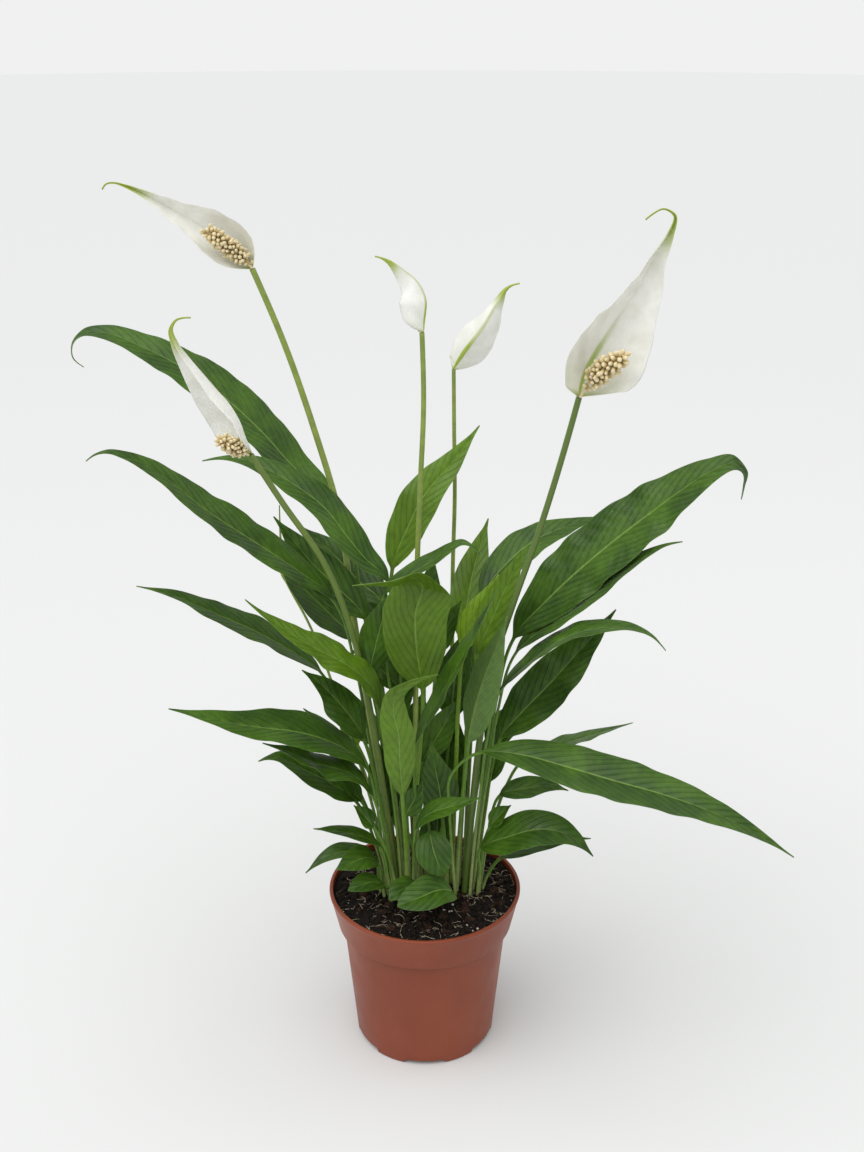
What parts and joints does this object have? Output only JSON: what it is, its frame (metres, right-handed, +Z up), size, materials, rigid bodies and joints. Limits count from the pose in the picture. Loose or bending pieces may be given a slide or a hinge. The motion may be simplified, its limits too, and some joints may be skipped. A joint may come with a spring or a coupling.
{
  "type": "potted peace lily",
  "caption": "Flowering peace lily in a round terracotta-coloured nursery pot: arching pointed leaves on upright petioles, with white hooded flowers on tall stems.",
  "frame": {"origin": "centre of the whole plant's outline on the plane that the pot's feet stand on; the pot's own axis is within 2.5 mm of it", "axes": "+Z up from the feet to the highest flower, +X to the right and -Y towards the front"},
  "size_m": [0.4124, 0.1576, 0.5332],
  "materials": {
    "pot_plastic": "satin moulded polypropylene, terracotta brown",
    "potting_soil": "loose dark peat with fibres and perlite",
    "leaf": "dark green leaf with a soft satin sheen",
    "stem": "smooth yellow-green stem",
    "spathe": "thin white spathe with a green tip",
    "spadix": "cream spike of tiny knobs"
  },
  "bodies": {
    "root": {"pot": "pot_plastic", "soil": "potting_soil", "leaf_01": "leaf", "leaf_02": "leaf", "leaf_03": "leaf", "leaf_04": "leaf", "leaf_05": "leaf", "leaf_06": "leaf", "leaf_07": "leaf", "leaf_08": "leaf", "leaf_09": "leaf", "leaf_10": "leaf", "leaf_11": "leaf", "leaf_12": "leaf", "leaf_13": "leaf", "leaf_14": "leaf", "leaf_15": "leaf", "leaf_16": "leaf", "leaf_17": "leaf", "leaf_18": "leaf", "leaf_19": "leaf", "leaf_20": "leaf", "leaf_21": "leaf", "leaf_22": "leaf", "leaf_23": "leaf", "leaf_24": "leaf", "leaf_25": "leaf", "leaf_26": "leaf", "leaf_27": "leaf", "leaf_28": "leaf", "leaf_29": "leaf", "leaf_30": "leaf", "leaf_31": "leaf", "leaf_32": "leaf", "leaf_33": "leaf", "leaf_34": "leaf", "leaf_35": "leaf", "leaf_36": "leaf", "leaf_37": "leaf", "leaf_38": "leaf", "leaf_39": "leaf", "leaf_40": "leaf", "leaf_41": "leaf", "leaf_42": "leaf", "flower_stem_1": "stem", "spathe_1": "spathe", "spadix_1": "spadix", "flower_stem_2": "stem", "spathe_2": "spathe", "spadix_2": "spadix", "flower_stem_3": "stem", "spathe_3": "spathe", "spadix_3": "spadix", "flower_stem_4": "stem", "spathe_4": "spathe", "spadix_4": "spadix", "flower_stem_5": "stem", "spathe_5": "spathe", "spadix_5": "spadix", "bud": "stem"}
  },
  "joints": []
}
